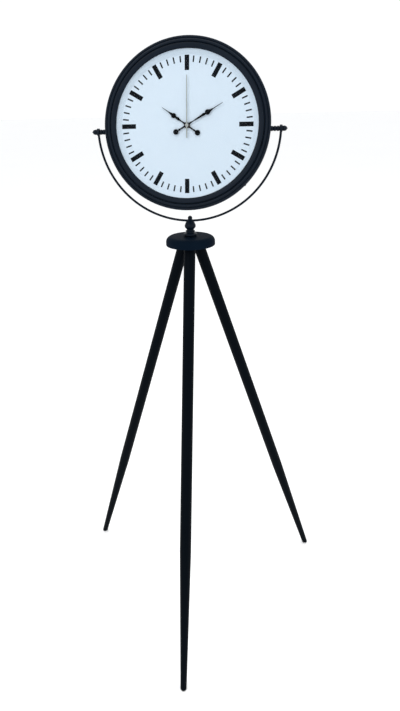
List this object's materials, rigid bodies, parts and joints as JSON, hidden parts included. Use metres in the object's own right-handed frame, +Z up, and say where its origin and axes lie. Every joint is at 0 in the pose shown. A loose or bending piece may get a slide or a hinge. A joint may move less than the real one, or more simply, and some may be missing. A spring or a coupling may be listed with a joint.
{
  "type": "tripod floor clock",
  "caption": "Round dial clock held in a half-round wire yoke on a turned finial and disc head, standing on a splayed black tripod; the case tilts and swivels.",
  "frame": {"origin": "centre of the tripod's rectangular footprint on the floor; the stand's own axis is a quarter of the foot circle's radius behind it", "axes": "+Z up, -Y the way the dial and the front leg face, +X to the right of a person facing the dial"},
  "size_m": [0.7288, 0.6334, 1.606],
  "materials": {
    "black_paint": "satin black paint, slight orange peel",
    "black_wood": "satin black lacquer over fine grain",
    "rubber_pad": "matt moulded rubber",
    "zinc_steel": "zinc plated steel",
    "fibre": "hard black fibre",
    "alloy_post": "turned aluminium",
    "glass": "clear flat glass",
    "dial_white": "bluish white semi-matt enamel",
    "mark_black": "matt black",
    "hand_black": "satin black",
    "second_silver": "fine brushed grey metal",
    "brass": "turned brass",
    "gear_plastic": "natural white moulded plastic",
    "black_plastic": "fine textured black moulded plastic",
    "grey_plastic": "grey moulded plastic",
    "magnet": "sintered magnet",
    "copper": "enamelled copper wire",
    "board_green": "green board",
    "bright_can": "bright can",
    "cell_wrap": "plain blue shrink wrap"
  },
  "bodies": {
    "stand": {"head_disc": "black_paint", "leg_front": "black_wood", "leg_left": "black_wood", "leg_right": "black_wood", "leg_studs": "zinc_steel", "foot_pads": "rubber_pad"},
    "yoke_assembly": {"yoke": "black_paint", "finial": "black_paint", "clamp_bolt": "zinc_steel", "clamp_nut": "zinc_steel", "clamp_washer": "zinc_steel", "swivel_washer": "fibre"},
    "case": {"acorn_nuts": "black_paint", "bezel": "black_paint", "bezel_screws": "black_paint", "bush_nut": "brass", "bush_washer": "brass", "case_pan": "black_paint", "cell_contacts": "zinc_steel", "circuit_board": "board_green", "coil_bobbin": "black_plastic", "coil_core": "zinc_steel", "coil_winding": "copper", "crystal": "bright_can", "dial_plate": "dial_white", "dial_posts": "alloy_post", "friction_washers": "fibre", "glass": "glass", "glass_gasket": "rubber_pad", "hour_bars": "mark_black", "minute_ticks": "mark_black", "movement_back": "grey_plastic", "movement_gasket": "rubber_pad", "movement_tray": "black_plastic", "pivot_beads": "black_paint", "pivot_nuts": "zinc_steel", "pivot_plates": "zinc_steel", "pivot_studs": "zinc_steel", "post_screws": "zinc_steel", "rotor_bridge": "grey_plastic", "stator": "zinc_steel"},
    "cell": {"cell": "cell_wrap"},
    "minute_works": {"cannon_pinion": "brass", "minute_hand": "hand_black", "hand_nut": "brass", "clutch_spring": "zinc_steel"},
    "hour_works": {"hour_wheel": "gear_plastic", "hour_hand": "hand_black"},
    "minute_wheel": {"minute_wheel": "gear_plastic"},
    "setting_knob": {"setting_knob": "black_plastic"},
    "second_works": {"second_arbor": "brass", "second_hand": "second_silver"},
    "third_wheel": {"third_wheel": "gear_plastic"},
    "centre_wheel": {"centre_wheel": "gear_plastic"},
    "step_wheel": {"step_wheel": "gear_plastic"},
    "rotor": {"rotor_pinion": "zinc_steel", "rotor_magnet": "magnet"}
  },
  "joints": [
    {"name": "yoke_swivel", "type": "hinge", "parent": "stand", "child": "yoke_assembly", "pos_m": [0, 0.10325, 1.134], "axis": [0, 0, 1], "continuous": true},
    {"name": "case_tilt", "type": "hinge", "parent": "yoke_assembly", "child": "case", "pos_m": [0, 0.10325, 1.395], "axis": [1, 0, 0], "range_deg": [-170, 178]},
    {"name": "minute_turn", "type": "hinge", "parent": "case", "child": "minute_works", "pos_m": [0, 0.08038, 1.40802], "axis": [0, 0.9823, -0.1874], "continuous": true},
    {"name": "hour_turn", "type": "hinge", "parent": "case", "child": "hour_works", "pos_m": [0, 0.08038, 1.40802], "axis": [0, 0.9823, -0.1874], "continuous": true},
    {"name": "minute_wheel_turn", "type": "hinge", "parent": "case", "child": "minute_wheel", "pos_m": [0, 0.08679, 1.41494], "axis": [0, 0.9823, -0.1874], "continuous": true},
    {"name": "knob_turn", "type": "hinge", "parent": "case", "child": "setting_knob", "pos_m": [0, 0.10173, 1.42064], "axis": [0, 0.9823, -0.1874], "continuous": true},
    {"name": "second_turn", "type": "hinge", "parent": "case", "child": "second_works", "pos_m": [0, 0.08038, 1.40802], "axis": [0, 0.9823, -0.1874], "continuous": true},
    {"name": "third_turn", "type": "hinge", "parent": "case", "child": "third_wheel", "pos_m": [-0.01182, 0.08982, 1.40944], "axis": [0, 0.9823, -0.1874], "continuous": true},
    {"name": "centre_turn", "type": "hinge", "parent": "case", "child": "centre_wheel", "pos_m": [0, 0.08854, 1.40646], "axis": [0, 0.9823, -0.1874], "continuous": true},
    {"name": "step_turn", "type": "hinge", "parent": "case", "child": "step_wheel", "pos_m": [0.00827, 0.09288, 1.40415], "axis": [0, 0.9823, -0.1874], "continuous": true},
    {"name": "rotor_turn", "type": "hinge", "parent": "case", "child": "rotor", "pos_m": [0.01418, 0.09269, 1.40312], "axis": [0, 0.9823, -0.1874], "continuous": true},
    {"name": "cell_out", "type": "slide", "parent": "case", "child": "cell", "axis": [0, 0.9823, -0.1874], "range_m": [0, 0.09]}
  ],
  "couplings": [
    {"joint": "hour_turn", "follows": "minute_turn", "ratio": 0.083333},
    {"joint": "minute_wheel_turn", "follows": "minute_turn", "ratio": -0.33333},
    {"joint": "knob_turn", "follows": "minute_turn", "ratio": 0.83333},
    {"joint": "third_turn", "follows": "second_turn", "ratio": -0.13333},
    {"joint": "centre_turn", "follows": "second_turn", "ratio": 0.016667},
    {"joint": "step_turn", "follows": "second_turn", "ratio": -6},
    {"joint": "rotor_turn", "follows": "second_turn", "ratio": 30}
  ]
}
